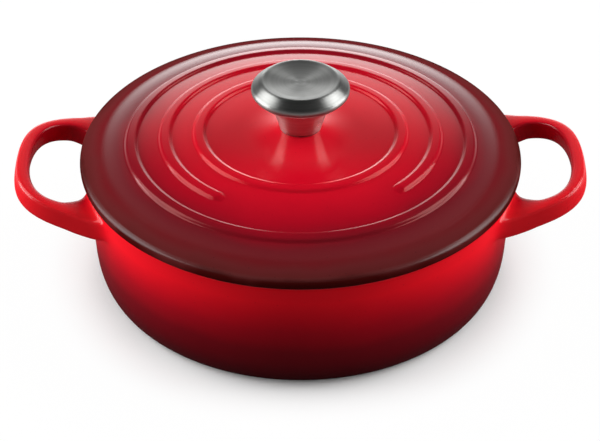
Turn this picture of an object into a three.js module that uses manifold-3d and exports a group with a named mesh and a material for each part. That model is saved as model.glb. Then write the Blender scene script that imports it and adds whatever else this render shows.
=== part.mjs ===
// A wide, low round dutch oven in enamelled cast iron: a pot with two loop handles cast on,
// a ringed lid that drops into the pot's mouth, and a hollow steel knob held by a screw from below.
// Millimetres, +Z up. The origin is on the floor, under the middle of the pot, and the handles lie along X.
import * as THREE from "three";
import { mergeVertices } from "three/addons/utils/BufferGeometryUtils.js";
import Module from "manifold-3d";

// Pot
const POT_RIM_RADIUS = 125; // outside of the rim
const POT_HEIGHT = 73; // floor to the top of the rim
const POT_WALL = 4;
const POT_DRAFT = 0.06; // how much the wall leans out, per millimetre of height
const BASE_THICKNESS = 4.8;
const CORNER_WIDTH = 9; // outer corner between base and wall
const CORNER_HEIGHT = 24;
const INNER_CORNER_WIDTH = 12;
const INNER_CORNER_HEIGHT = 20;
const RIM_ROUND = 1.6;
const FOOT_WIDTH = 22; // flat ring that the pot stands on
const FOOT_RECESS = 0.8; // how far the middle of the base is lifted off the floor

// Loop handles, cast with the pot
const HANDLE_PROJECTION = 42; // rim to the tip of the loop
const HANDLE_BAR = 8.5; // width of the bar at the tip, seen from above
const HANDLE_SIDE_BAR = 11; // width of the bar beside the finger gap's widest place
const HANDLE_THICKNESS = 12;
const HANDLE_ROUND = 3.4; // rounding of the bar's edges
const HANDLE_DROP = 11; // rim to the middle of the bar where it leaves the wall
const HANDLE_TILT = 11; // degrees that the loop rises towards its tip
const HANDLE_SHOULDER = 22; // tip back to where the corners start
const HANDLE_SHOULDER_SPAN = 92; // across the loop's outside there
const HANDLE_FLARE = 17; // degrees that the sides spread towards the wall
const HANDLE_TIP_SPAN = 39; // across the gently bowed tip, between the corners
const HANDLE_TIP_BOW = 2.5; // how far the middle of the tip stands out
const GRIP_WIDEST = 10.5; // rim to the widest place of the finger gap
const GRIP_ROOT_ROUND = 18; // how far the gap's inner corners reach along the wall
const GRIP_FULLNESS = 0.67; // of the gap's corners: 0.55 is an ellipse, 1 is square

// Lid
const LID_OVERHANG = 3; // how far the lid's edge stands out past the rim
const LID_GAP = 0.3; // lid to rim
const LID_EDGE = 6.4; // height of the rounded edge
const LID_WALL = 3.8;
const DOME_HEIGHT = 19.2; // seat to the crown, without the boss
const DOME_POWER = 3.2; // flat in the middle, falling away to the edge
const LIP_CLEARANCE = 1.5; // between the locating lip and the pot's mouth
const LIP_THICKNESS = 3.5;
const LIP_DEPTH = 4; // how far the lip reaches below the seat
const LIP_TAPER = 0.6;
const LUG_COUNT = 4; // small stops on the lip that keep the lid centred
const LUG_WIDTH = 12;
const LUG_CLEARANCE = 0.7; // between a stop and the pot's mouth
const RING_INSET = 29.8; // lid's edge to the crest of the outer ring
const RING_PITCH = 19.8;
const RING_HEIGHT = 2.2;
const RING_HALF_WIDTH = 4;
const RING_BREAK = 82; // degrees of the middle ring that are left out at the front
const RING_BREAK_TURN = 4; // degrees that the break's middle lies towards +X
const BOSS_MARGIN = 0.7; // flat seat left round the knob's foot
const BOSS_FOOT_RADIUS = 34;
const BOSS_HEIGHT = 2.2; // above the crown
const BOSS_POWER = 2.4; // how sharply the boss rises to its seat
const PAD_MARGIN = 5.6; // flat pad left round the washer, under the lid
const PAD_RUN_OUT = 2;
const PAD_DEPTH = 7.6; // knob seat to pad

// Knob and its screw
const SEAT_GAP = 0.1; // between stacked pieces
const RUNNING_GAP = 0.3; // round the screw
const KNOB_RADIUS = 28.2;
const KNOB_RIM_HEIGHT = 22.1; // knob seat to the seam under the cap
const KNOB_FOOT_RADIUS = 12;
const KNOB_FLARE = 0.4; // 1 is a cone, less is a trumpet
const KNOB_SHEET = 1.5;
const KNOB_LAND = 3; // flat ring where cap and stem meet
const STEM_INSET = 3; // how far the stem's rim lies inside the cap's edge
const CAP_RISE = 9.1; // seam to the edge of the dish
const CAP_DISH_RADIUS = 20.6;
const CAP_DISH_DEPTH = 1.4;
const CAP_DISH_ROUND = 0.8; // rounding between dish and band
const CAP_EDGE_ROUND = 3;
const CAP_BAND_FACING = 50; // degrees above level that the band faces
const CAP_BAND_BULGE = 0.5; // how far the band bows out from straight
const INSERT_LENGTH = 12;
const SCREW_RADIUS = 3; // M6
const SCREW_GRIP = 10; // how far the screw reaches into the insert
const SCREW_POINT = 1; // chamfer at its end
const SCREW_HEAD_RADIUS = 5.8;
const SCREW_HEAD_HEIGHT = 3.4;
const SLOT_LENGTH = 7;
const SLOT_WIDTH = 1.4;
const SLOT_DEPTH = 1.6;
const WASHER_RADIUS = 7.4;
const WASHER_THICKNESS = 1.2;

// Facets
const POT_SIDES = 48;
const LID_SIDES = 48;
const KNOB_SIDES = 36;
const SCREW_SIDES = 18;

const wasm = await Module();
wasm.setup();

// A closed three.js geometry as a solid that can be joined and cut.
function solid(geometry) {
  const bare = new THREE.BufferGeometry();
  bare.setAttribute("position", geometry.getAttribute("position"));
  bare.setIndex(geometry.index);
  const merged = mergeVertices(bare);
  const index = merged.index.array;
  const triVerts = [];
  for (let i = 0; i < index.length; i += 3) {
    const [a, b, c] = [index[i], index[i + 1], index[i + 2]];
    if (a !== b && b !== c && c !== a) triVerts.push(a, b, c);
  }
  const vertProperties = merged.getAttribute("position").array;
  return new wasm.Manifold(new wasm.Mesh({ numProp: 3, vertProperties, triVerts: new Uint32Array(triVerts) }));
}

function geometryOf(manifold) {
  const mesh = manifold.getMesh();
  const geometry = new THREE.BufferGeometry();
  geometry.setAttribute("position", new THREE.BufferAttribute(mesh.vertProperties, 3));
  geometry.setIndex(new THREE.BufferAttribute(mesh.triVerts, 1));
  geometry.computeVertexNormals();
  return geometry;
}

// Turns a profile of [radius, height] points about the Z axis. It runs up the outside.
function turned(profile, sides) {
  const points = profile.map(([r, z]) => new THREE.Vector2(r, z));
  return new THREE.LatheGeometry(points, sides).rotateX(Math.PI / 2);
}

// A flat ring with a square section, from one height to another.
function flatRing(inner, outer, low, high) {
  const section = [[inner, low], [outer, low], [outer, high], [inner, high], [inner, low]];
  return turned(section, KNOB_SIDES);
}

// Even steps from one number to another, both included.
function steps(from, to, count) {
  return Array.from({ length: count + 1 }, (_, i) => from + ((to - from) * i) / count);
}

// Points on an elliptic arc, from one angle to another in degrees.
function arc(r, z, width, height, from, to, count) {
  return steps(from, to, count).map((degrees) => {
    const a = THREE.MathUtils.degToRad(degrees);
    return [r + width * Math.cos(a), z + height * Math.sin(a)];
  });
}

function material(color, roughness, metalness) {
  return new THREE.MeshStandardMaterial({ color, roughness, metalness });
}

const potEnamel = material(0xb3101c, 0.2, 0);
const lidEnamel = material(0xa80f1c, 0.22, 0);
const knobSteel = material(0x9a9b99, 0.3, 1);
const screwSteel = material(0xa8a8a4, 0.35, 1);

function piece(name, geometry, finish) {
  const mesh = new THREE.Mesh(geometry, finish);
  mesh.name = name;
  return mesh;
}

// Pot: a turned bowl, with a loop handle on each side
const mouthRadius = POT_RIM_RADIUS - POT_WALL;

function potRadius(z) {
  return POT_RIM_RADIUS - POT_DRAFT * (POT_HEIGHT - z);
}

// The outside from the base's edge up to the rim's rounding, moved in by an inset.
function potOutside(inset) {
  const middle = potRadius(CORNER_HEIGHT) - CORNER_WIDTH;
  const rimZ = POT_HEIGHT - RIM_ROUND;
  return [
    ...arc(middle, CORNER_HEIGHT, CORNER_WIDTH - inset, CORNER_HEIGHT - inset, -90, 0, 8),
    [potRadius(rimZ) - inset, rimZ],
  ];
}

function potBowl() {
  const footOuter = potRadius(CORNER_HEIGHT) - CORNER_WIDTH;
  const footInner = footOuter - FOOT_WIDTH;
  const cornerZ = BASE_THICKNESS + INNER_CORNER_HEIGHT;
  const cornerR = potRadius(cornerZ) - POT_WALL - INNER_CORNER_WIDTH;
  const rimZ = POT_HEIGHT - RIM_ROUND;
  return turned(
    [
      [0, FOOT_RECESS],
      [footInner - FOOT_RECESS, FOOT_RECESS],
      [footInner, 0],
      ...potOutside(0),
      ...arc(POT_RIM_RADIUS - RIM_ROUND, rimZ, RIM_ROUND, RIM_ROUND, 30, 90, 2),
      ...arc(mouthRadius + RIM_ROUND, rimZ, RIM_ROUND, RIM_ROUND, 90, 180, 3),
      ...arc(cornerR, cornerZ, INNER_CORNER_WIDTH, INNER_CORNER_HEIGHT, 0, -90, 6),
      [0, BASE_THICKNESS],
    ],
    POT_SIDES,
  );
}

// The loop seen from above, for the +X side: half its width at a place along its straight sides.
const handleTip = POT_RIM_RADIUS + HANDLE_PROJECTION;
const handleShoulder = handleTip - HANDLE_SHOULDER;
const handleSpread = Math.tan(THREE.MathUtils.degToRad(HANDLE_FLARE));

function handleHalfWidth(x) {
  return HANDLE_SHOULDER_SPAN / 2 + handleSpread * (handleShoulder - x);
}

// Its sides run on into the bowl, where they are cut off.
function handleOutside() {
  const root = POT_RIM_RADIUS - HANDLE_PROJECTION;
  const halfRoot = handleHalfWidth(root);
  const halfSpan = HANDLE_SHOULDER_SPAN / 2;
  const halfTip = HANDLE_TIP_SPAN / 2;
  const tipEnd = handleTip - HANDLE_TIP_BOW;
  // The corner's curve aims at the point where the side and the end of the bowed tip would meet.
  const lean = (2 * HANDLE_TIP_BOW) / halfTip;
  const aimX = (tipEnd - lean * (handleHalfWidth(0) - halfTip)) / (1 - lean * handleSpread);
  const aimY = handleHalfWidth(aimX);
  const outside = new THREE.Shape();
  outside.moveTo(root, -halfRoot);
  outside.lineTo(handleShoulder, -halfSpan);
  outside.quadraticCurveTo(aimX, -aimY, tipEnd, -halfTip);
  outside.quadraticCurveTo(handleTip + HANDLE_TIP_BOW, 0, tipEnd, halfTip);
  outside.quadraticCurveTo(aimX, aimY, handleShoulder, halfSpan);
  outside.lineTo(root, halfRoot);
  outside.closePath();
  return outside;
}

function fingerGap() {
  const tip = handleTip - HANDLE_BAR;
  const widest = POT_RIM_RADIUS + GRIP_WIDEST;
  const half = handleHalfWidth(widest) - HANDLE_SIDE_BAR;
  const atWall = half - GRIP_ROOT_ROUND;
  const tipAim = widest + GRIP_FULLNESS * (tip - widest);
  const wallAim = widest - GRIP_FULLNESS * (widest - mouthRadius);
  const wallAimY = atWall + GRIP_FULLNESS * GRIP_ROOT_ROUND;
  const gap = new THREE.Path();
  gap.moveTo(tip, 0);
  gap.bezierCurveTo(tip, GRIP_FULLNESS * half, tipAim, half, widest, half);
  gap.bezierCurveTo(wallAim, half, mouthRadius, wallAimY, mouthRadius, atWall);
  gap.lineTo(mouthRadius, -atWall);
  gap.bezierCurveTo(mouthRadius, -wallAimY, wallAim, -half, widest, -half);
  gap.bezierCurveTo(tipAim, -half, tip, -GRIP_FULLNESS * half, tip, 0);
  return gap;
}

function handleLoop() {
  const outline = handleOutside();
  outline.holes.push(fingerGap());
  const loop = new THREE.ExtrudeGeometry(outline, {
    depth: HANDLE_THICKNESS - 2 * HANDLE_ROUND,
    bevelThickness: HANDLE_ROUND,
    bevelSize: HANDLE_ROUND,
    bevelOffset: -HANDLE_ROUND,
    bevelSegments: 3,
    curveSegments: 6,
  });
  loop.translate(-POT_RIM_RADIUS, 0, HANDLE_ROUND - HANDLE_THICKNESS / 2);
  loop.rotateY(-THREE.MathUtils.degToRad(HANDLE_TILT));
  loop.translate(POT_RIM_RADIUS, 0, POT_HEIGHT - HANDLE_DROP);
  return loop;
}

function pot() {
  const wallMiddle = potOutside(POT_WALL / 2);
  const [low, high] = [wallMiddle[0][1], wallMiddle.at(-1)[1]];
  const insideOfWall = solid(turned([[0, low], ...wallMiddle, [0, high]], POT_SIDES));
  const loop = solid(handleLoop()).subtract(insideOfWall);
  const casting = solid(potBowl()).add(loop).add(loop.rotate([0, 0, 180]));
  return piece("pot_body", geometryOf(casting), potEnamel);
}

// Lid: a shallow dome with raised rings, a boss for the knob and a lip that drops into the pot's mouth.
// Its heights are measured from the seat, the flat under its edge that lies on the pot's rim.
const lidRadius = POT_RIM_RADIUS + LID_OVERHANG;
const lipOuter = mouthRadius - LIP_CLEARANCE;
const bossTop = DOME_HEIGHT + BOSS_HEIGHT;
const bossRadius = KNOB_FOOT_RADIUS + BOSS_MARGIN;
const padHeight = bossTop - PAD_DEPTH;
const screwHole = SCREW_RADIUS + RUNNING_GAP;
const [outerRing, middleRing, innerRing] = [0, 1, 2].map((i) => lidRadius - RING_INSET - i * RING_PITCH);
const lidEdge = arc(lidRadius - LID_EDGE / 2, LID_EDGE / 2, LID_EDGE / 2, LID_EDGE / 2, 75, -90, 7);

function domeHeight(r) {
  const [edgeRadius, edgeHeight] = lidEdge[0];
  return DOME_HEIGHT - (DOME_HEIGHT - edgeHeight) * (r / edgeRadius) ** DOME_POWER;
}

function bossHeight(r) {
  const share = Math.max(0, (BOSS_FOOT_RADIUS - r) / (BOSS_FOOT_RADIUS - bossRadius));
  return (bossTop - domeHeight(bossRadius)) * share ** BOSS_POWER;
}

// Height of a ring above the dome, a given distance across from its crest.
function ringHeight(across) {
  const share = Math.min(1, Math.abs(across) / RING_HALF_WIDTH);
  return (RING_HEIGHT * (1 + Math.cos(Math.PI * share))) / 2;
}

const acrossRing = steps(-RING_HALF_WIDTH, RING_HALF_WIDTH, 6);

function lidTop(r) {
  return domeHeight(r) + bossHeight(r) + ringHeight(r - innerRing) + ringHeight(r - outerRing);
}

function lidShell() {
  const lipInner = lipOuter - LIP_THICKNESS;
  const padRadius = WASHER_RADIUS + PAD_MARGIN;
  const topRadii = [
    ...steps(bossRadius, BOSS_FOOT_RADIUS, 6),
    ...acrossRing.map((across) => innerRing + across),
    middleRing,
    ...acrossRing.map((across) => outerRing + across),
    (outerRing + lidRadius) / 2,
  ].sort((a, b) => a - b);
  const underRadii = [lipInner, outerRing, middleRing, innerRing, padRadius + PAD_RUN_OUT];
  const outline = [
    [screwHole, bossTop],
    ...topRadii.map((r) => [r, lidTop(r)]),
    ...lidEdge,
    [lipOuter, 0],
    [lipOuter - LIP_TAPER, -LIP_DEPTH],
    [lipInner, -LIP_DEPTH],
    ...underRadii.map((r) => [r, domeHeight(r) - LID_WALL]),
    [padRadius, padHeight],
    [screwHole, padHeight],
    [screwHole, bossTop],
  ];
  return solid(turned(outline.reverse(), LID_SIDES));
}

// The middle ring is broken at the front, and its two ends are rounded.
function brokenRing() {
  const foot = domeHeight(middleRing) - LID_WALL / 2;
  const [inner, outer] = [middleRing - RING_HALF_WIDTH, middleRing + RING_HALF_WIDTH];
  const crest = acrossRing.map((across) => {
    const r = middleRing + across;
    return [r, domeHeight(r) + ringHeight(across)];
  });
  const whole = solid(turned([[inner, foot], [outer, foot], ...crest.reverse(), [inner, foot]], LID_SIDES));
  const halfBreak = THREE.MathUtils.degToRad(RING_BREAK / 2);
  const toEnd = new THREE.Vector2(Math.sin(halfBreak), -Math.cos(halfBreak));
  const beyond = toEnd.clone().multiplyScalar(2 * outer);
  const wedge = new THREE.Shape([new THREE.Vector2(), new THREE.Vector2(-beyond.x, beyond.y), beyond]);
  const frontWedge = new THREE.ExtrudeGeometry(wedge, { depth: bossTop, bevelEnabled: false });
  let ring = whole.subtract(solid(frontWedge));
  const halfCrest = steps(RING_HALF_WIDTH, 0, 3).map((r) => [r, domeHeight(middleRing) + ringHeight(r)]);
  for (const side of [-1, 1]) {
    const end = turned([[0, foot], [RING_HALF_WIDTH, foot], ...halfCrest], SCREW_SIDES);
    end.translate(side * toEnd.x * middleRing, toEnd.y * middleRing, 0);
    ring = ring.add(solid(end));
  }
  return ring.rotate([0, 0, RING_BREAK_TURN]);
}

function lipStop(angle) {
  const outer = mouthRadius - LUG_CLEARANCE;
  const depth = outer - (lipOuter - LIP_THICKNESS / 2);
  const stop = new THREE.BoxGeometry(depth, LUG_WIDTH, LIP_DEPTH);
  stop.translate(outer - depth / 2, 0, -LIP_DEPTH / 2);
  return solid(stop.rotateZ(angle));
}

function lid() {
  let casting = lidShell().add(brokenRing());
  for (let i = 0; i < LUG_COUNT; i += 1) {
    casting = casting.add(lipStop(((i + 0.5) * 2 * Math.PI) / LUG_COUNT));
  }
  return piece("lid", geometryOf(casting), lidEnamel);
}

// Knob: a trumpet-shaped stem and a dished cap, joined under the cap's rounded edge.
// Its heights are measured from the stem's foot.
function flare(footRadius, rimRadius, height) {
  return steps(1, 0, 9).map((left) => {
    const share = left ** 2; // closer steps towards the rim
    return [rimRadius - (rimRadius - footRadius) * share ** KNOB_FLARE, height * (1 - share)];
  });
}

const stemRim = KNOB_RADIUS - STEM_INSET;
const landInner = stemRim - KNOB_LAND;

function knobStem() {
  const outside = flare(KNOB_FOOT_RADIUS, stemRim, KNOB_RIM_HEIGHT - KNOB_SHEET);
  const inside = flare(KNOB_FOOT_RADIUS - KNOB_SHEET, landInner, KNOB_RIM_HEIGHT);
  const shell = [...outside, [stemRim, KNOB_RIM_HEIGHT], ...inside.reverse(), outside[0]];
  return piece("knob_stem", turned(shell, KNOB_SIDES), knobSteel);
}

function knobCap() {
  const seam = KNOB_RIM_HEIGHT + SEAT_GAP;
  const bandTop = KNOB_RIM_HEIGHT + CAP_RISE;
  const sphere = (CAP_DISH_RADIUS ** 2 + CAP_DISH_DEPTH ** 2) / (2 * CAP_DISH_DEPTH);
  const dish = (r) => bandTop - CAP_DISH_DEPTH + sphere - Math.sqrt(sphere ** 2 - r ** 2);
  const dishRadii = steps(CAP_DISH_RADIUS - CAP_DISH_ROUND, 0, 4);
  const edgeMiddle = [KNOB_RADIUS - CAP_EDGE_ROUND, seam + CAP_EDGE_ROUND];
  const edge = arc(...edgeMiddle, CAP_EDGE_ROUND, CAP_EDGE_ROUND, -90, CAP_BAND_FACING, 5);
  const bandInner = CAP_DISH_RADIUS + CAP_DISH_ROUND;
  const [edgeRadius, edgeHeight] = edge.at(-1);
  const outline = [
    ...dishRadii.map((r) => [r, dish(r) - KNOB_SHEET]).reverse(),
    [landInner, seam],
    ...edge,
    [(edgeRadius + bandInner) / 2, (edgeHeight + bandTop) / 2 + CAP_BAND_BULGE],
    [bandInner, bandTop],
    ...dishRadii.map((r) => [r, dish(r)]),
  ];
  return piece("knob_cap", turned(outline, KNOB_SIDES), knobSteel);
}

// A threaded bush inside the stem's foot takes the screw.
function knobInsert() {
  const outer = KNOB_FOOT_RADIUS - KNOB_SHEET - SEAT_GAP;
  return piece("knob_insert", flatRing(screwHole, outer, 0, INSERT_LENGTH), screwSteel);
}

function knob() {
  const group = new THREE.Group();
  group.add(knobStem(), knobCap(), knobInsert());
  group.position.z = bossTop + SEAT_GAP;
  return group;
}

function knobWasher() {
  const washer = piece("knob_washer", flatRing(screwHole, WASHER_RADIUS, -WASHER_THICKNESS, 0), screwSteel);
  washer.position.z = padHeight - SEAT_GAP;
  return washer;
}

// Pan-head screw with a cross recess, driven from inside the lid. Its heights start under the head.
function knobScrew() {
  const seat = padHeight - WASHER_THICKNESS - 2 * SEAT_GAP;
  const tip = bossTop + SEAT_GAP + SCREW_GRIP - seat;
  const outline = [
    ...arc(0, 0, SCREW_HEAD_RADIUS, SCREW_HEAD_HEIGHT, -90, 0, 5),
    [SCREW_RADIUS, 0],
    [SCREW_RADIUS, tip - SCREW_POINT],
    [SCREW_RADIUS - SCREW_POINT, tip],
    [0, tip],
  ];
  let body = solid(turned(outline, SCREW_SIDES));
  for (const turn of [0, Math.PI / 2]) {
    const slot = new THREE.BoxGeometry(SLOT_LENGTH, SLOT_WIDTH, 2 * SLOT_DEPTH);
    slot.rotateZ(turn).translate(0, 0, -SCREW_HEAD_HEIGHT);
    body = body.subtract(solid(slot));
  }
  const screw = piece("knob_screw", geometryOf(body), screwSteel);
  screw.position.z = seat;
  return screw;
}

const lidWithKnob = new THREE.Group();
lidWithKnob.add(lid(), knob(), knobWasher(), knobScrew());
lidWithKnob.position.z = POT_HEIGHT + LID_GAP;

const dutchOven = new THREE.Group();
dutchOven.add(pot(), lidWithKnob);

export default dutchOven;
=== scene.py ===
import math

import bmesh
import bpy
from mathutils import Matrix, Vector
from mathutils.geometry import interpolate_bezier


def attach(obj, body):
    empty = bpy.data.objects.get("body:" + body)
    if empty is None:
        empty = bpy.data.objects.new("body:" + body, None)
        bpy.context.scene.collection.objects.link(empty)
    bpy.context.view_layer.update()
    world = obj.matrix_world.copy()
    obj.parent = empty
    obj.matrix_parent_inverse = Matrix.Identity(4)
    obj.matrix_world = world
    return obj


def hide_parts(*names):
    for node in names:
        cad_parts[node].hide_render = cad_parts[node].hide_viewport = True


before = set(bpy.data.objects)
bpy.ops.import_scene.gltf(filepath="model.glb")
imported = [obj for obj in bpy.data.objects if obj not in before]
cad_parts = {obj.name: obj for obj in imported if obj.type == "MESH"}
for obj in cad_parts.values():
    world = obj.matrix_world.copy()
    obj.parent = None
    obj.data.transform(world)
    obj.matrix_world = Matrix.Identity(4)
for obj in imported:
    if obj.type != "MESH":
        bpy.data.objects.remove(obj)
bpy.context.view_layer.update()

scene = bpy.context.scene
scene.view_settings.view_transform = "Standard"


# Stage: a plain white floor, with a camera where the photograph was taken from. A high and a low soft lamp
# stand on each side and a weak one over the camera. A white sweep runs round, brightest behind the object.
# The stage and the materials are measured in metres, and the pieces' meshes in millimetres.
MM = 0.001
WHITE = (1, 1, 1, 1)
FLOOR_SIZE = 8.0
FLOOR_SEEN = (0.98, 0.98, 0.98, 1)
FLOOR_BOUNCE = (0.3, 0.3, 0.3, 1)  # how much light the floor throws back up
FLOOR_WHITE = 0.97  # share of plain white in the floor away from the pot
WHITE_REACH = (0.107, 0.157)  # distances from the axis between which the floor turns white
CAMERA_DISTANCE = 1.15  # to the middle of the lid
CAMERA_RISE = 33.88  # degrees above the lid's level
CAMERA_PITCH = 35.86  # degrees that it looks down
CAMERA_TURN = -0.5  # degrees round the pot
CAMERA_LENS = 118.4
LID_MIDDLE = Vector((-0.0003, 0, 0.0765))
LAMP_DISTANCE = 1.5
HIGH_LAMP_SIZE = (1.0, 0.8)
LOW_LAMP_SIZE = (1.2, 0.6)
LAMPS = (  # name, degrees round from the right-hand handle, degrees above the floor, size, power
    ("high_left_lamp", 168, 42, HIGH_LAMP_SIZE, 13),
    ("high_right_lamp", 12, 42, HIGH_LAMP_SIZE, 13),
    ("low_left_lamp", 175, 12, LOW_LAMP_SIZE, 19),
    ("low_right_lamp", 5, 12, LOW_LAMP_SIZE, 15),
)
FILL_PLACE = Vector((0, -0.6, 1.7))
FILL_SIZE = (1.4, 1.4)
FILL_POWER = 4
ROOM_GLOW = 0.08
SWEEP_GLOW = 0.8
SWEEP_HEIGHT = (0.25, 0.03)  # where the sweep fades out above the horizon, and where it is full
BACKDROP_GLOW = 6.2
BACKDROP_HEIGHT = (0.62, 0.1)  # the same for the bright part of it, upwards,
BACKDROP_WIDTH = (0.42, 0.1)  # sideways
BACKDROP_DEPTH = (0.3, 0.6)  # and towards the back


def add_node(tree, kind, inputs=(), **settings):
    """A new node. Its inputs are pairs of a socket and either a constant or another node's output."""
    node = tree.nodes.new(kind)
    for name, value in settings.items():
        setattr(node, name, value)
    for socket, value in inputs:
        if isinstance(value, bpy.types.NodeSocket):
            tree.links.new(value, node.inputs[socket])
        else:
            node.inputs[socket].default_value = value
    return node


def calculate(tree, operation, *values):
    """The result of a math node on constants or other nodes' outputs."""
    return add_node(tree, "ShaderNodeMath", enumerate(values), operation=operation).outputs[0]


def ease(tree, value, span, low=0, high=1):
    """A value turned into a smooth step from low to high over a span."""
    ends = [("From Min", span[0]), ("From Max", span[1]), ("To Min", low), ("To Max", high)]
    step = add_node(tree, "ShaderNodeMapRange", [("Value", value), *ends], interpolation_type="SMOOTHSTEP")
    return step.outputs[0]


def mix_colours(tree, share, first, second):
    """The first colour turned into the second by a share."""
    # A mix node takes its two colours in inputs 6 and 7 and gives the mixed one in output 2.
    mix = add_node(tree, "ShaderNodeMix", [(0, share), (6, first), (7, second)], data_type="RGBA")
    return mix.outputs[2]


def new_material(name):
    """An empty node material and its tree."""
    material = bpy.data.materials.new(name)
    material.use_nodes = True
    material.node_tree.nodes.clear()
    return material, material.node_tree


def from_axis(tree):
    """Distance from the pot's axis."""
    place = add_node(tree, "ShaderNodeTexCoord").outputs["Object"]
    flat = add_node(tree, "ShaderNodeVectorMath", [(0, place), (1, (1, 1, 0))], operation="MULTIPLY")
    radius = add_node(tree, "ShaderNodeVectorMath", [(0, flat.outputs[0])], operation="LENGTH")
    return radius.outputs["Value"]


def white_floor():
    """Matt white paper that keeps the pot's shadow. Where seen or mirrored, it is white further out."""
    material, tree = new_material("white_floor")
    path = add_node(tree, "ShaderNodeLightPath").outputs
    mirrored = calculate(tree, "MAXIMUM", path["Is Glossy Ray"], path["Is Transmission Ray"])
    seen = calculate(tree, "MAXIMUM", path["Is Camera Ray"], mirrored)
    shade = mix_colours(tree, seen, FLOOR_BOUNCE, FLOOR_SEEN)
    further_out = ease(tree, from_axis(tree), WHITE_REACH, 0, FLOOR_WHITE)
    share = calculate(tree, "MULTIPLY", seen, further_out)
    paper = add_node(tree, "ShaderNodeBsdfDiffuse", [("Color", shade)]).outputs[0]
    plain_white = add_node(tree, "ShaderNodeEmission", [("Color", WHITE), ("Strength", 1)]).outputs[0]
    both = add_node(tree, "ShaderNodeMixShader", [(0, share), (1, paper), (2, plain_white)])
    add_node(tree, "ShaderNodeOutputMaterial", [("Surface", both.outputs[0])])
    return material


def new_object(name, shape, *materials):
    """An object at the origin from a finished bmesh in millimetres, which is freed."""
    bmesh.ops.scale(shape, vec=(MM, MM, MM), verts=shape.verts)
    mesh = bpy.data.meshes.new(name)
    shape.to_mesh(mesh)
    shape.free()
    for material in materials:
        mesh.materials.append(material)
    piece = bpy.data.objects.new(name, mesh)
    scene.collection.objects.link(piece)
    return piece


floor_shape = bmesh.new()
bmesh.ops.create_grid(floor_shape, x_segments=1, y_segments=1, size=FLOOR_SIZE / 2 / MM)
floor = new_object("floor", floor_shape, white_floor())


def white_sweep():
    """A dim room with the white sweep low all round, lit behind the object."""
    world = bpy.data.worlds.new("studio")
    world.use_nodes = True
    tree = world.node_tree
    tree.nodes.clear()
    direction = add_node(tree, "ShaderNodeTexCoord").outputs["Generated"]
    axes = add_node(tree, "ShaderNodeSeparateXYZ", [(0, direction)]).outputs
    behind = ease(tree, axes["Y"], BACKDROP_DEPTH)
    within_width = ease(tree, calculate(tree, "ABSOLUTE", axes["X"]), BACKDROP_WIDTH)
    within_height = ease(tree, axes["Z"], BACKDROP_HEIGHT, 0, BACKDROP_GLOW)
    sweep = ease(tree, axes["Z"], SWEEP_HEIGHT, ROOM_GLOW, SWEEP_GLOW)
    backdrop = calculate(tree, "MULTIPLY", behind, within_width)
    level = calculate(tree, "MULTIPLY_ADD", within_height, backdrop, sweep)
    light = add_node(tree, "ShaderNodeBackground", [("Strength", level)])
    add_node(tree, "ShaderNodeOutputWorld", [("Surface", light.outputs[0])])
    return world


scene.world = white_sweep()


def soft_lamp(name, place, size, power):
    """An area lamp that faces the pot and that the camera doesn't see."""
    lamp = bpy.data.lights.new(name, "AREA")
    lamp.shape = "RECTANGLE"
    lamp.size, lamp.size_y = size
    lamp.energy = power
    stand = bpy.data.objects.new(name, lamp)
    stand.location = place
    stand.rotation_euler = place.to_track_quat("Z", "Y").to_euler()
    stand.visible_camera = False
    scene.collection.objects.link(stand)
    return stand


for lamp_name, degrees_round, degrees_up, lamp_size, lamp_power in LAMPS:
    turn = math.radians(degrees_round)
    rise = math.radians(degrees_up)
    lamp_side = Vector((math.cos(rise) * math.cos(turn), math.cos(rise) * math.sin(turn), math.sin(rise)))
    soft_lamp(lamp_name, lamp_side * LAMP_DISTANCE, lamp_size, lamp_power)
fill = soft_lamp("fill_over_camera", FILL_PLACE, FILL_SIZE, FILL_POWER)
fill.visible_glossy = False

lens = bpy.data.cameras.new("camera")
lens.lens = CAMERA_LENS
camera = bpy.data.objects.new("camera", lens)
camera_rise = math.radians(CAMERA_RISE)
round_the_pot = Matrix.Rotation(math.radians(CAMERA_TURN), 4, "Z")
back_from_lid = Vector((0, -math.cos(camera_rise), math.sin(camera_rise))) * CAMERA_DISTANCE
camera.location = LID_MIDDLE + round_the_pot @ back_from_lid
camera.rotation_euler = (math.radians(90 - CAMERA_PITCH), 0, math.radians(CAMERA_TURN))
scene.collection.objects.link(camera)
scene.camera = camera


# Pot: bowl and loop handles are one iron casting under glossy red enamel that darkens towards the base,
# partly its own colour and partly painted shade on the low wall.
# The inside has sand-coloured enamel, and the rim, ground flat for the lid, a thin satin black one.
RIM_RADIUS = 125.0
RIM_HEIGHT = 73.0
RIM_ROUND = 1.6
RIM_BAND = 0.9  # height of the black enamel at the rim
WALL = 4.0
WALL_DRAFT = 0.06
BASE = 4.8
CORNER = (9.0, 24.0)  # reach of the curve from the base to the wall, across and up
INNER_CORNER = (12.0, 20.0)
FOOT_WIDTH = 22.0
FOOT_RECESS = 0.8
RECESS_LOOPS = (4.0, 1.0)  # loops that keep the foot's inner edge tight: short of the edge,
FOOT_LOOPS = (0.6, 5.0)  # past it
FOOT_END_LOOP = 6.0  # and short of the corner
RECESS_MIDDLE_LOOP = 45.0
WALL_LOOPS = (32.0, 42.0, 49.0)  # heights of the loops below the handles
INSIDE_LOOPS = (66.0, 50.0, 36.0)
FLOOR_LOOPS = (80.0, 40.0, 0.0)
SWEEP_STEPS = (2, 3, 11)  # of a quarter of the bowl: to a handle's arm, along its root and on
ROOT_ANGLES = (11.0, 28.0)  # where a handle's arm leaves the wall, in degrees from the handle's middle
ROOT_HEIGHTS = (55.0, 62.0, 68.5)
ROOT_SLACK = 0.1  # in degrees and millimetres
HANDLE_TIP = RIM_RADIUS + 42.0
HANDLE_BAR = 8.5
HANDLE_HALF_THICKNESS = 6.1
HANDLE_TILT = 11.0
HANDLE_CORNER = 28.5  # reach of the curve round the loop's outer corner
SIDE_START = Vector((133.5, 50.3, 0))
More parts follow.
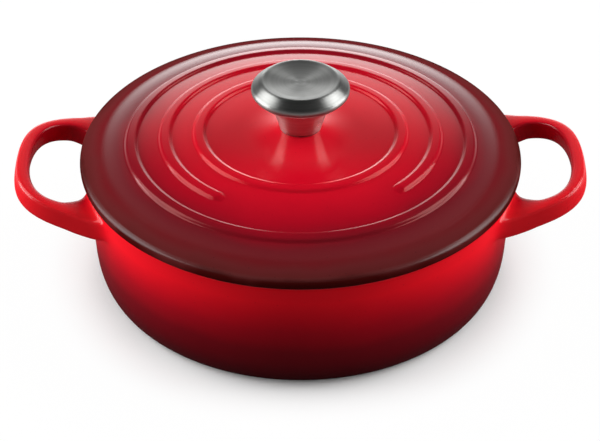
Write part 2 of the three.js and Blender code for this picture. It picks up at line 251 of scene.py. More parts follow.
SIDE_DIRECTION = Vector((0.956, -0.292, 0))
GAP_WIDEST = Vector((135.5, 39.3, 0))
GAP_CORNER = 0.67  # fullness of the finger gap's corner
ARM_OUTSIDE = Vector((118.0, 56.0, 0))  # the arm a few millimetres off the wall
ARM_INSIDE = Vector((125.0, 34.2, 0))
HANDLE_STATIONS = 12
CORNER_EASE = 0.96  # rounds the bar's section
ARM_CREASE = 0.5  # keeps an arm's edges crisp by the wall, and fades towards the loop's tip
ACROSS_SLACK = 0.1  # share of the bar's width
BOWL_REACH = RIM_RADIUS + 1.0  # what lies further out is handle
SAND_FACING = 0.5  # how far a face looks up and inwards before it counts as the inside
MERGE_DISTANCE = 0.01


def wall_radius(height):
    """Outer radius of the wall, which leans out a little."""
    return RIM_RADIUS - WALL_DRAFT * (RIM_HEIGHT - height)


def section_arc(middle, reach, start, stop, count):
    """Points of an upright elliptic arc in a turned section, as (radius, height), angles in degrees."""
    points = []
    for i in range(count + 1):
        angle = math.radians(start + (stop - start) * i / count)
        points.append((middle[0] + reach[0] * math.cos(angle), middle[1] + reach[1] * math.sin(angle)))
    return points


def pot_section():
    """The casting's section, from the middle of the base up the outside, over the rim and down inside."""
    foot_outer = wall_radius(CORNER[1]) - CORNER[0]
    foot_inner = foot_outer - FOOT_WIDTH
    corner_top = BASE + INNER_CORNER[1]
    corner_middle = wall_radius(corner_top) - WALL - INNER_CORNER[0]
    rim_low = RIM_HEIGHT - RIM_ROUND
    rim = (RIM_ROUND, RIM_ROUND)
    recess_radii = (0, RECESS_MIDDLE_LOOP, *(foot_inner - step for step in RECESS_LOOPS))
    foot_radii = (*(foot_inner + step for step in FOOT_LOOPS), foot_outer - FOOT_END_LOOP)
    return [
        *((radius, FOOT_RECESS) for radius in recess_radii),
        *((radius, 0) for radius in foot_radii),
        *section_arc((foot_outer, CORNER[1]), CORNER, -90, 0, count=7),
        *((wall_radius(height), height) for height in (*WALL_LOOPS, *ROOT_HEIGHTS)),
        *section_arc((RIM_RADIUS - RIM_ROUND, rim_low), rim, 0, 90, count=3),
        *section_arc((RIM_RADIUS - WALL + RIM_ROUND, rim_low), rim, 90, 180, count=3),
        *((wall_radius(height) - WALL, height) for height in INSIDE_LOOPS),
        *section_arc((corner_middle, corner_top), INNER_CORNER, 0, -90, count=5),
        *((radius, BASE) for radius in FLOOR_LOOPS),
    ]


def draw_section(shape, points):
    """The section's vertices and edges, drawn in the plane of X and Z."""
    corners = [shape.verts.new((radius, 0, height)) for radius, height in points]
    lines = [shape.edges.new(pair) for pair in zip(corners, corners[1:])]
    return corners + lines


def root_angle(vert):
    """Degrees round the pot from the right-hand handle's middle."""
    return math.degrees(math.atan2(vert.co.y, vert.co.x))


def on_root(vert):
    """Whether a vertex lies on the patch of wall that a handle's arm grows from."""
    inside_angles = ROOT_ANGLES[0] - ROOT_SLACK < root_angle(vert) < ROOT_ANGLES[1] + ROOT_SLACK
    inside_heights = ROOT_HEIGHTS[0] - ROOT_SLACK < vert.co.z < ROOT_HEIGHTS[-1] + ROOT_SLACK
    return inside_angles and inside_heights and vert.co.xy.length > RIM_RADIUS - WALL / 2


def sweep_bowl(shape):
    """A quarter of the bowl from the middle of a handle on, with a hole where the handle's arm starts."""
    angles = (ROOT_ANGLES[0], ROOT_ANGLES[1] - ROOT_ANGLES[0], 90 - ROOT_ANGLES[1])
    last = draw_section(shape, pot_section())
    for angle, steps in zip(angles, SWEEP_STEPS):
        swept = bmesh.ops.spin(
            shape, geom=last, cent=(0, 0, 0), axis=(0, 0, 1), angle=math.radians(angle), steps=steps
        )
        last = swept["geom_last"]
    bmesh.ops.remove_doubles(shape, verts=shape.verts, dist=MERGE_DISTANCE)
    # Subdivision draws a round of flats in a little, so it starts that much wider.
    swell = 3 / (2 + math.cos(math.radians(90 / sum(SWEEP_STEPS))))
    bmesh.ops.scale(shape, vec=(swell, swell, 1), verts=shape.verts)
    patch = [face for face in shape.faces if all(on_root(vert) for vert in face.verts)]
    bmesh.ops.delete(shape, geom=patch, context="FACES")


def handle_stations():
    """Pairs of points across the loop's bar, seen from above, from just off the wall to the tip."""
    tip = Vector((HANDLE_TIP, 0, 0))
    gap_tip = tip - Vector((HANDLE_BAR, 0, 0))
    outer = interpolate_bezier(
        SIDE_START,
        SIDE_START + SIDE_DIRECTION * HANDLE_CORNER,
        tip + Vector((0, HANDLE_CORNER, 0)),
        tip,
        HANDLE_STATIONS,
    )
    inner = interpolate_bezier(
        GAP_WIDEST,
        GAP_WIDEST + Vector((GAP_CORNER * (gap_tip.x - GAP_WIDEST.x), 0, 0)),
        gap_tip + Vector((0, GAP_CORNER * GAP_WIDEST.y, 0)),
        gap_tip,
        HANDLE_STATIONS,
    )
    return [(ARM_INSIDE, ARM_OUTSIDE), *zip(inner, outer)]


def grow_arm(shape):
    """Half a handle grown out of the hole in the wall, still level. Gives the vertices of its bar."""
    on_bar, across, above = shape.verts.layers.float.values()
    crease = shape.edges.layers.float.new("crease_edge")
    hem = [edge for edge in shape.edges if edge.is_boundary and all(on_root(vert) for vert in edge.verts)]
    middle = ROOT_HEIGHTS[1]
    for vert in {vert for edge in hem for vert in edge.verts}:
        vert[across] = (root_angle(vert) - ROOT_ANGLES[0]) / (ROOT_ANGLES[1] - ROOT_ANGLES[0])
        vert[above] = (vert.co.z > middle + ROOT_SLACK) - (vert.co.z < middle - ROOT_SLACK)

    def on_long_edge(vert):
        return vert[above] != 0 and min(vert[across], 1 - vert[across]) < ACROSS_SLACK

    bar = []
    for inner, outer in handle_stations():
        grown = bmesh.ops.extrude_edge_only(shape, edges=hem)["geom"]
        hem = [item for item in grown if isinstance(item, bmesh.types.BMEdge) and item.is_boundary]
        for vert in (item for item in grown if isinstance(item, bmesh.types.BMVert)):
            pull = CORNER_EASE if on_long_edge(vert) else 1
            place = inner.lerp(outer, 0.5 + (vert[across] - 0.5) * pull)
            vert.co = (place.x, place.y, middle + vert[above] * pull * HANDLE_HALF_THICKNESS)
            vert[on_bar] = 1
            bar.append(vert)
    for edge in {edge for vert in bar for edge in vert.link_edges}:
        first, second = edge.verts
        along = first[above] == second[above] and abs(first[across] - second[across]) < ACROSS_SLACK
        if along and on_long_edge(first):
            reach = ((first.co.x + second.co.x) / 2 - RIM_RADIUS) / (HANDLE_TIP - RIM_RADIUS)
            edge[crease] = ARM_CREASE * (1 - min(1, max(0, reach)))
    return bar


def choose_enamels(shape):
    """Black on the rim, sand inside and red elsewhere."""
    for face in shape.faces:
        middle = face.calc_center_median()
        radius = middle.xy.length
        faces_out = face.normal.xy.dot(middle.xy.normalized())
        if radius < BOWL_REACH and middle.z > RIM_HEIGHT - RIM_BAND:
            face.material_index = 1
        elif radius < RIM_RADIUS - WALL / 2 and face.normal.z - faces_out > SAND_FACING:
            face.material_index = 2
        face.smooth = True


def pot_mesh():
    """A quarter of the bowl with half a handle grown out of its wall, then mirrored twice."""
    shape = bmesh.new()
    for measure in ("on_bar", "across", "above"):
        shape.verts.layers.float.new(measure)
    sweep_bowl(shape)
    tilt = Matrix.Rotation(-math.radians(HANDLE_TILT), 3, "Y")
    bmesh.ops.rotate(shape, cent=(RIM_RADIUS, 0, ROOT_HEIGHTS[1]), matrix=tilt, verts=grow_arm(shape))
    for axis in "XY":
        everything = shape.verts[:] + shape.edges[:] + shape.faces[:]
        bmesh.ops.mirror(
            shape, geom=everything, matrix=Matrix.Identity(4), merge_dist=MERGE_DISTANCE, axis=axis
        )
    bmesh.ops.remove_doubles(shape, verts=shape.verts, dist=MERGE_DISTANCE)
    bmesh.ops.recalc_face_normals(shape, faces=shape.faces)
    shape.normal_update()
    choose_enamels(shape)
    return shape


PEEL_SCALE = 130
DRIFT_SCALE = 24
SPECK_SCALE = 210
SPECK_SIZE = (0.09, 0.05)  # a speck's soft outer edge and its full middle, as shares of the specks' spacing
PEEL_DISTANCE = 0.001


def enamel_surface():
    """The skin of fired enamel: a faint orange peel, drifting gloss and a few fine specks."""
    group = bpy.data.node_groups.new("enamel_surface", "ShaderNodeTree")
    for name in ("Peel Height", "Roughness", "Roughness Drift"):
        group.interface.new_socket(name, in_out="INPUT", socket_type="NodeSocketFloat")
    for name in ("Roughness", "Drift", "Specks"):
        group.interface.new_socket(name, in_out="OUTPUT", socket_type="NodeSocketFloat")
    group.interface.new_socket("Normal", in_out="OUTPUT", socket_type="NodeSocketVector")
    given = add_node(group, "NodeGroupInput").outputs
    place = ("Vector", add_node(group, "ShaderNodeTexCoord").outputs["Object"])
    peel = add_node(group, "ShaderNodeTexNoise", [place, ("Scale", PEEL_SCALE), ("Detail", 2)])
    drifting = add_node(group, "ShaderNodeTexNoise", [place, ("Scale", DRIFT_SCALE), ("Detail", 3)])
    drift = drifting.outputs["Fac"]
    spots = add_node(group, "ShaderNodeTexVoronoi", [place, ("Scale", SPECK_SCALE), ("Randomness", 1)])
    specks = add_node(
        group,
        "ShaderNodeMapRange",
        [("Value", spots.outputs["Distance"]), ("From Min", SPECK_SIZE[0]), ("From Max", SPECK_SIZE[1])],
    )
    bump = add_node(
        group,
        "ShaderNodeBump",
        [("Distance", PEEL_DISTANCE), ("Strength", given["Peel Height"]), ("Height", peel.outputs["Fac"])],
    )
    either_way = calculate(group, "SUBTRACT", drift, 0.5)
    roughness = calculate(group, "MULTIPLY_ADD", either_way, given["Roughness Drift"], given["Roughness"])
    results = [
        ("Roughness", roughness),
        ("Drift", drift),
        ("Specks", specks.outputs[0]),
        ("Normal", bump.outputs["Normal"]),
    ]
    add_node(group, "NodeGroupOutput", results)
    return group


enamel_group = enamel_surface()


def srgb(red, green, blue):
    """A colour from 0 to 255 in sRGB, as linear values."""
    linear = []
    for level in (red / 255, green / 255, blue / 255):
        linear.append(level / 12.92 if level <= 0.04045 else ((level + 0.055) / 1.055) ** 2.4)
    return (*linear, 1)


def colour_ramp(tree, value, stops):
    """A colour from a value, by (position, colour) stops with colours as 0 to 255 in sRGB."""
    ramp = add_node(tree, "ShaderNodeValToRGB", [("Fac", value)])
    marks = ramp.color_ramp.elements
    while len(marks) < len(stops):
        marks.new(0.5)
    for mark, (position, colour) in zip(marks, stops):
        mark.position = position
        mark.color = srgb(*colour)
    return ramp.outputs["Color"]


def enamel(name, colour_of, gloss, peel, shine, specks, glaze=None):
    """Fired enamel. Gloss is its roughness and that one's drift, shine its specular level and tint, specks
    their colour and strength, and glaze what gives the glaze's thickness, and its roughness."""
    material, tree = new_material(name)
    settings = [("Peel Height", peel), ("Roughness", gloss[0]), ("Roughness Drift", gloss[1])]
    skin = add_node(tree, "ShaderNodeGroup", settings, node_tree=enamel_group).outputs
    speck_share = calculate(tree, "MULTIPLY", skin["Specks"], specks[1])
    colour = mix_colours(tree, speck_share, colour_of(tree, skin["Drift"]), srgb(*specks[0]))
    surface = [
        ("Base Color", colour),
        ("Roughness", skin["Roughness"]),
        ("Normal", skin["Normal"]),
        ("Specular IOR Level", shine[0]),
        ("Specular Tint", shine[1]),
    ]
    if glaze:
        surface += [("Coat Weight", glaze[0](tree)), ("Coat Roughness", glaze[1])]
    shader = add_node(tree, "ShaderNodeBsdfPrincipled", surface)
    add_node(tree, "ShaderNodeOutputMaterial", [("Surface", shader.outputs[0])])
    return material


# The darkening towards the base is partly the enamel's own colour and partly painted shade on the low wall.
POT_REDS_AND_LOW_SHADE = (  # from the base up to the rim
    (0.0, (58, 4, 10)),
    (0.14, (80, 4, 13)),
    (0.36, (112, 5, 18)),
    (0.56, (164, 7, 25)),
    (0.7, (204, 11, 29)),
    (0.85, (238, 17, 33)),
    (1.0, (242, 19, 34)),
)
# Painted shade: a bar is darker on its side towards the finger gap, where the loop shades itself.
HANDLE_REDS_AND_GAP_SHADE = (  # from the side of a bar towards the finger gap, over it to the outer side
    (0.0, (146, 6, 21)),
    (0.25, (200, 9, 29)),
    (0.6, (216, 22, 33)),
    (1.0, (208, 24, 33)),
)
SANDS = ((0.3, (206, 190, 158)), (0.7, (222, 208, 180)))
BLACKS = ((0.3, (26, 22, 20)), (0.7, (44, 38, 35)))
RED_TINT = (1.0, 0.45, 0.4, 1)
POT_UNEVEN = 0.008  # how far the edge between the two sprays wanders
WALL_GLAZE = 0.05
LEVEL_GLAZE = 0.55
GLAZE_FACING = (0.15, 0.6)  # how far a surface faces up before the glaze lies thick on it


def above_floor(tree):
    """Height over the floor."""
    place = add_node(tree, "ShaderNodeTexCoord").outputs["Object"]
    return add_node(tree, "ShaderNodeSeparateXYZ", [(0, place)]).outputs["Z"]


def sprayed(tree, drift, distance, uneven, end, stops):
    """Colours from a distance of zero to its end, with an uneven edge where two sprays meet."""
    wandering = calculate(tree, "MULTIPLY_ADD", drift, uneven, distance)
    # The drift is about a half on the whole, so the span starts that much later.
    span = [("From Min", uneven / 2), ("From Max", end + uneven / 2)]
    share = add_node(tree, "ShaderNodeMapRange", [("Value", wandering), *span])
    return colour_ramp(tree, share.outputs[0], stops)


def pot_red_and_shade(tree, drift):
    """Red that darkens towards the base, with painted shade on the handles' bars towards the finger gap."""
    wall_red_and_low_shade = sprayed(tree, drift, above_floor(tree), POT_UNEVEN, RIM_HEIGHT * MM, POT_REDS_AND_LOW_SHADE)
    on_bar = add_node(tree, "ShaderNodeAttribute", attribute_name="on_bar").outputs["Fac"]
    across = add_node(tree, "ShaderNodeAttribute", attribute_name="across").outputs["Fac"]
    return mix_colours(tree, on_bar, wall_red_and_low_shade, colour_ramp(tree, across, HANDLE_REDS_AND_GAP_SHADE))


def facing(tree, axis):
    """How far the surface faces along an axis, from -1 to 1."""
    normal = add_node(tree, "ShaderNodeNewGeometry").outputs["Normal"]
    return add_node(tree, "ShaderNodeSeparateXYZ", [(0, normal)]).outputs[axis]


def handle_glaze(tree):
    """The glaze runs level and lies thicker on what faces up, such as the tops of the handles."""
    return ease(tree, facing(tree, "Z"), GLAZE_FACING, WALL_GLAZE, LEVEL_GLAZE)


def sand(tree, drift):
    """Pale sand enamel, a little uneven."""
    return colour_ramp(tree, drift, SANDS)


def satin_black(tree, drift):
    """Thin dark enamel over the ground rim."""
    return colour_ramp(tree, drift, BLACKS)


pot_enamel = enamel(
    "pot_red_enamel",
    pot_red_and_shade,
    gloss=(0.22, 0.06),
    peel=0.012,
    shine=(0.0, RED_TINT),
    specks=((60, 4, 10), 0.25),
    glaze=(handle_glaze, 0.2),
)
rim_enamel = enamel(
    "rim_black_enamel",
    satin_black,
    gloss=(0.42, 0.12),
    peel=0.05,
    shine=(0.5, WHITE),
    specks=((90, 82, 76), 0.3),
)
sand_enamel = enamel(
    "sand_enamel",
    sand,
    gloss=(0.24, 0.08),
    peel=0.02,
    shine=(0.5, WHITE),
    specks=((150, 128, 96), 0.5),
)
pot = new_object("pot_casting", pot_mesh(), pot_enamel, rim_enamel, sand_enamel)
smoothing = pot.modifiers.new("smooth casting", "SUBSURF")
smoothing.levels = 2
smoothing.render_levels = 2
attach(pot, "pot")
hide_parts("pot_body")


# Lid: one iron casting with raised rings, enamelled red in the middle and dark satin maroon round the edge.
# Beneath, a lip and four small stops keep it centred in the pot's mouth.
LID_SEAT = RIM_HEIGHT + 0.3  # height of the lid's underside, which all its other heights are over
LID_RADIUS = 128.0
LID_WALL = 3.8
LID_EDGE_ROUND = 3.2
LID_EDGE_START = 72.0  # degrees up the edge's round at which it begins
DOME_END = 75.0  # and at which the dome would meet it
TOP_INSET = 3.0  # from the lid's outer edge to the last point of the dome
TOP_STEP = 0.6  # millimetres between the points of the top's section
CROWN = 19.2
DOME_POWER = 3.2
BOSS_TOP = 21.4
BOSS_RADIUS = 12.7
BOSS_FOOT = 34.0
BOSS_POWER = 2.4
RINGS = (98.2, 58.6)
BROKEN_RING = 78.4
RING_BREAK = 82.0  # degrees that are left out of it at the front
RING_BREAK_TURN = 4.0
RING_HEIGHT = 1.5
RING_HALF_WIDTH = 4.0
RING_FULLNESS = 3.4  # above one, a ring's top is flatter than a plain wave
SHOULDER_START = 102.0
SHOULDER = 115.0  # where the flange bends down to its edge
SHOULDER_RISE = 0.8
SHOULDER_ROUND = 0.1
FLANGE_START = 102.5  # where the satin maroon begins
SCREW_HOLE = 3.3
PAD_HEIGHT = 13.8  # of the flat that the screw's washer bears on
PAD_RADIUS = 13.0
PAD_SLOPE = 2.0
UNDER_RADII = (113.0, 108.0, 100.0, 90.0, 80.0, 70.0, 55.0, 40.0, 28.0, 18.0)
LIP_OUTER = 119.5
LIP_INNER = 116.0
LIP_DEPTH = 4.0
LIP_CHAMFER = 0.6
LIP_DRAFT = 0.5
LIP_INNER_CHAMFER = 0.8
LIP_INNER_DRAFT = 0.3
SEAT_BAND = 0.4  # height of the black enamel over the seat
STOP_RADIUS = 120.3
STOP_COUNT = 4
STOP_HALF_WIDTH = 6.0
LID_STEPS = 288
LID_SLACK = 1.0  # for telling which form a point of the lid is on
EDGE_RADIUS = LID_RADIUS - LID_EDGE_ROUND * (1 - math.cos(math.radians(DOME_END)))
EDGE_HEIGHT = LID_EDGE_ROUND * (1 + math.sin(math.radians(DOME_END)))


def dome(radius):
    """Height of the plain top, without boss, rings and shoulder."""
    return CROWN - (CROWN - EDGE_HEIGHT) * (radius / EDGE_RADIUS) ** DOME_POWER


def shoulder_rise(radius):
    """Height over the dome of the flange's low ridge, a tent with a rounded top."""
    inside = (radius - SHOULDER_START) / (SHOULDER - SHOULDER_START)
    outside = (EDGE_RADIUS - radius) / (EDGE_RADIUS - SHOULDER)
    half_gap = (inside - outside) / 2
    return max(0, SHOULDER_RISE * ((inside + outside) / 2 - math.hypot(half_gap, SHOULDER_ROUND)))


def ring_rise(distance):
    """Height of a ring over the dome, at a distance from its crest."""
    share = min(1, abs(distance) / RING_HALF_WIDTH) ** RING_FULLNESS
    return RING_HEIGHT * (1 + math.cos(math.pi * share)) / 2


def lid_top(radius):
    """Height of the top, with all that runs right round it."""
    boss = max(0, (BOSS_FOOT - radius) / (BOSS_FOOT - BOSS_RADIUS)) ** BOSS_POWER
    boss_rise = (BOSS_TOP - dome(BOSS_RADIUS)) * min(1, boss)
    rings = sum(ring_rise(radius - ring) for ring in RINGS)
    return dome(radius) + boss_rise + rings + shoulder_rise(radius)


def lid_section():
    """The closed section: over the top, round the edge, along the seat and lip and back beneath."""
    top_width = LID_RADIUS - TOP_INSET - BOSS_RADIUS
    count = round(top_width / TOP_STEP)
    radii = [BOSS_RADIUS + top_width * i / count for i in range(count + 1)]
    edge_middle = (LID_RADIUS - LID_EDGE_ROUND, LID_EDGE_ROUND)
    edge = (LID_EDGE_ROUND, LID_EDGE_ROUND)
    return [
        (SCREW_HOLE, BOSS_TOP),
        *((radius, lid_top(radius)) for radius in radii),
        *section_arc(edge_middle, edge, LID_EDGE_START, -90, count=14),
        (LIP_OUTER + LIP_CHAMFER, 0),
        (LIP_OUTER, -LIP_CHAMFER),
        (LIP_OUTER - LIP_DRAFT, LIP_CHAMFER - LIP_DEPTH),
        (LIP_OUTER - LIP_DRAFT - LIP_CHAMFER, -LIP_DEPTH),
        (LIP_INNER + LIP_INNER_CHAMFER, -LIP_DEPTH),
        (LIP_INNER, LIP_INNER_CHAMFER - LIP_DEPTH),
        (LIP_INNER - LIP_INNER_DRAFT, 0),
        *((radius, dome(radius) - LID_WALL) for radius in UNDER_RADII),
        (PAD_RADIUS + PAD_SLOPE, dome(PAD_RADIUS) - LID_WALL),
        (PAD_RADIUS, PAD_HEIGHT),
        (SCREW_HOLE, PAD_HEIGHT),
    ]


def from_broken_ring(place):
    """Distance in plan from the crest of the ring that is left out at the front."""
    from_front = math.atan2(place.x, -place.y) - math.radians(RING_BREAK_TURN)
    from_front = abs((from_front + math.pi) % (2 * math.pi) - math.pi)
    half_break = math.radians(RING_BREAK / 2)
    radius = place.xy.length
    if from_front >= half_break:
        return radius - BROKEN_RING
    spread = half_break - from_front
    return math.sqrt(radius**2 + BROKEN_RING**2 - 2 * radius * BROKEN_RING * math.cos(spread))


def turned(section, base, steps):
    """A section turned about the axis and set at a height. It ends on the axis or closes on itself."""
    shape = bmesh.new()
    outline = draw_section(shape, [(radius, base + rise) for radius, rise in section])
    shape.verts.ensure_lookup_table()
    if section[0][0] > 0:
        outline.append(shape.edges.new((shape.verts[-1], shape.verts[0])))
    bmesh.ops.spin(
        shape,
        geom=outline,
        cent=(0, 0, 0),
        axis=(0, 0, 1),
        angle=2 * math.pi,
        steps=steps,
        use_merge=True,
    )
    bmesh.ops.remove_doubles(shape, verts=shape.verts, dist=MERGE_DISTANCE)
    bmesh.ops.recalc_face_normals(shape, faces=shape.faces)
    for face in shape.faces:
        face.smooth = True
    return shape


def on_stop(vert):
    """Whether a vertex of the lip lies where a stop stands out from it."""
    spacing = 2 * math.pi / STOP_COUNT
    turn = math.atan2(vert.co.y, vert.co.x) % spacing - spacing / 2
    return abs(turn) * LIP_OUTER < STOP_HALF_WIDTH


def lid_mesh():
    """The turned casting with its broken ring raised, its stops drawn out and its enamels chosen."""
    shape = turned(lid_section(), 0, LID_STEPS)
    lip_middle = (LIP_INNER + LIP_OUTER) / 2
    for vert in shape.verts:
        radius = vert.co.xy.length
        if radius < LID_RADIUS - LID_EDGE_ROUND and vert.co.z > dome(radius) - LID_SLACK:
            vert.co.z += ring_rise(from_broken_ring(vert.co))
        elif vert.co.z < -LIP_CHAMFER / 2 and radius > lip_middle and on_stop(vert):
            vert.co.xy *= STOP_RADIUS / LIP_OUTER
    for face in shape.faces:
        middle = face.calc_center_median()
        radius = middle.xy.length
        if radius > LIP_INNER - LID_SLACK and middle.z < SEAT_BAND:
            face.material_index = 1
        elif face.normal.z < 0 and radius < LIP_INNER + LID_SLACK:
            face.material_index = 2
        elif radius > FLANGE_START:
            face.material_index = 3
    bmesh.ops.translate(shape, vec=(0, 0, LID_SEAT), verts=shape.verts)
    return shape


LID_REDS = (  # from the axis out to the edge
    (0.0, (222, 17, 38)),
    (0.16, (218, 14, 37)),
    (0.28, (202, 9, 32)),
    (0.52, (194, 9, 32)),
    (0.68, (160, 7, 28)),
    (0.77, (128, 12, 27)),
    (0.83, (106, 20, 29)),
    (0.9, (104, 25, 30)),
    (0.94, (97, 34, 36)),
    (0.98, (88, 32, 32)),
    (1.0, (66, 13, 12)),
)
LID_UNEVEN = 0.012
FLANGE_GLAZE = (0.45, 1.0)  # beside the outer ring and at the flange's bend
FLANGE_GLAZE_RISE = (0.103, 0.112)  # distances from the axis between which it gets thicker
FLANGE_GLAZE_END = (0.1118, 0.1172)  # and between which it thins out
EDGE_GLAZE = 0.6
EDGE_GLAZE_START = (0.1245, 0.1252)  # distances between which it begins again on the edge
EDGE_GLAZE_FACING_UP = (0.55, 0.8)  # how far the edge faces up where it has that glaze,
EDGE_GLAZE_FACING_FRONT = (0.0, -0.2)  # and along Y, which runs to the back


def lid_red(tree, drift):
    """Red in the middle, sprayed over with maroon towards the edge."""
    return sprayed(tree, drift, from_axis(tree), LID_UNEVEN, LID_RADIUS * MM, LID_REDS)


def flange_glaze(tree):
    """Satin glaze, thickest at the bend of the flange, then none but for a line along the front edge."""
    radius = from_axis(tree)
    rise = ease(tree, radius, FLANGE_GLAZE_RISE, *FLANGE_GLAZE)
    band = calculate(tree, "MULTIPLY", rise, ease(tree, radius, FLANGE_GLAZE_END, 1, 0))
    line = ease(tree, radius, EDGE_GLAZE_START, 0, EDGE_GLAZE)
    for axis, span in (("Z", EDGE_GLAZE_FACING_UP), ("Y", EDGE_GLAZE_FACING_FRONT)):
        line = calculate(tree, "MULTIPLY", line, ease(tree, facing(tree, axis), span))
    return calculate(tree, "MAXIMUM", band, line)


lid_enamel = enamel(
    "lid_red_enamel",
    lid_red,
    gloss=(0.16, 0.05),
    peel=0.008,
    shine=(0.31, RED_TINT),
    specks=((60, 4, 10), 0.25),
)
flange_enamel = enamel(
    "lid_satin_maroon",
    lid_red,
    gloss=(0.5, 0.12),
    peel=0.02,
    shine=(0.0, WHITE),
    specks=((30, 6, 8), 0.4),
    glaze=(flange_glaze, 0.26),
)
lid = new_object("lid_casting", lid_mesh(), lid_enamel, rim_enamel, sand_enamel, flange_enamel)
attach(lid, "lid")
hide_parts("lid")


# Knob stem: the lower shell, spun from sheet steel into a trumpet and polished smoother than the cap;
# its lighter grey than the cap's is a painted sheen.
# It stands on the lid's boss and is drawn down on it by the screw.
FIT_GAP = 0.1  # between pieces of the knob that bear on each other
KNOB_FOOT = LID_SEAT + BOSS_TOP + FIT_GAP
KNOB_RADIUS = 28.2
KNOB_RIM = 22.1  # height of the stem's rim over its foot
KNOB_SHEET = 1.5
KNOB_FOOT_RADIUS = 12.0
KNOB_FLARE = 0.4
KNOB_LAND = 3.0  # width of the flat on which cap and stem meet
KNOB_STEPS = 160
STEM_INSET = 3.0  # how far the stem's rim lies inside the cap's edge
STEM_LIP = 0.6
STEM_LIP_START = -20.0  # degrees below level at which the rim's round begins
FLARE_POINTS = 28
FLARE_CROWDING = 2.5  # above one, the points lie closer towards the rim
# Painted sheen: the stem's steel is a lighter grey than the cap's, for the bright reflections down it.
STEM_GREYS_AND_SHEEN = ((0.3, (184, 185, 183)), (0.7, (196, 197, 195)))
BRUSH_STRETCH = 0.8  # how far brushing draws out a highlight
BRUSH_TURN = 0.25  # a quarter turn, across the lines
SMEAR_SCALE = 90
SMEAR_SPAN = (0.2, 0.8)
SMEAR_ROUGHNESS = 0.05
LINE_DISTANCE = 0.001


def flare(foot_radius, rim_radius, rim_height):
    """The trumpet's curve from its foot up."""
    points = []
    for i in range(FLARE_POINTS + 1):
        share = (1 - i / FLARE_POINTS) ** FLARE_CROWDING
        radius = rim_radius - (rim_radius - foot_radius) * share**KNOB_FLARE
        points.append((radius, rim_height * (1 - share)))
    return points


def stem_section():
    """Up the outside, over the rim and down the inside."""
    rim = KNOB_RADIUS - STEM_INSET
    outside = flare(KNOB_FOOT_RADIUS, rim, KNOB_RIM - KNOB_SHEET)
    inside = flare(KNOB_FOOT_RADIUS - KNOB_SHEET, rim - KNOB_LAND, KNOB_RIM)
    lip_middle = (rim - STEM_LIP, KNOB_RIM - STEM_LIP)
    lip = section_arc(lip_middle, (STEM_LIP, STEM_LIP), STEM_LIP_START, 90, count=6)
    return [*outside[:-1], *lip, *reversed(inside)]


def brushed_steel(name, greys, roughness, line_scale, line_depth):
    """Steel brushed while it turned: fine rings about the axis, which stretch highlights across them."""
    material, tree = new_material(name)
    place = ("Vector", add_node(tree, "ShaderNodeTexCoord").outputs["Object"])
    smears = add_node(tree, "ShaderNodeTexNoise", [place, ("Scale", SMEAR_SCALE), ("Detail", 3)])
    gloss = ease(
        tree, smears.outputs["Fac"], SMEAR_SPAN, roughness - SMEAR_ROUGHNESS, roughness + SMEAR_ROUGHNESS
    )
    section = add_node(tree, "ShaderNodeCombineXYZ", [("X", from_axis(tree)), ("Z", above_floor(tree))])
    along_section = ("Vector", section.outputs[0])
    lines = add_node(tree, "ShaderNodeTexNoise", [along_section, ("Scale", line_scale), ("Detail", 1)])
    bump = add_node(
        tree,
        "ShaderNodeBump",
        [("Strength", line_depth), ("Distance", LINE_DISTANCE), ("Height", lines.outputs["Fac"])],
    )
    grain = add_node(tree, "ShaderNodeTangent", direction_type="RADIAL", axis="Z")
    surface = [
        ("Base Color", colour_ramp(tree, lines.outputs["Fac"], greys)),
        ("Metallic", 1),
        ("Roughness", gloss),
        ("Normal", bump.outputs["Normal"]),
        ("Anisotropic", BRUSH_STRETCH),
        ("Anisotropic Rotation", BRUSH_TURN),
        ("Tangent", grain.outputs[0]),
    ]
    shader = add_node(tree, "ShaderNodeBsdfPrincipled", surface)
    add_node(tree, "ShaderNodeOutputMaterial", [("Surface", shader.outputs[0])])
    return material


stem_steel = brushed_steel(
    "stem_polished_steel", STEM_GREYS_AND_SHEEN, roughness=0.3, line_scale=600, line_depth=0.0012
)
stem = new_object("knob_trumpet", turned(stem_section(), KNOB_FOOT, KNOB_STEPS), stem_steel)
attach(stem, "lid")
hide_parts("knob_stem")


# Knob cap: the dished upper shell, turned from steel, hollow beneath and welded to the stem's rim.
# Its face is plain and brushed in rings, with a soft crest between the dish and the sloping band.
CAP_SEAM = KNOB_RIM + FIT_GAP
CAP_TOP = 31.2
CAP_EDGE_ROUND = 3.0
CREST_ROUND = 3.2
CREST_LEAN = 9.0  # degrees that the crest runs on into the dish
DISH_RADIUS = 21.4
DISH_DEPTH = 1.3
DISH_POWER = 2.6  # above two, the dish is flatter in the middle than a bowl of one radius
DISH_POINTS = 16
# Painted shade: the cap's steel is a darker grey than the stem's, for the dark that its dish mirrors.
CAP_GREYS_AND_SHADE = ((0.3, (124, 125, 123)), (0.7, (136, 137, 135)))


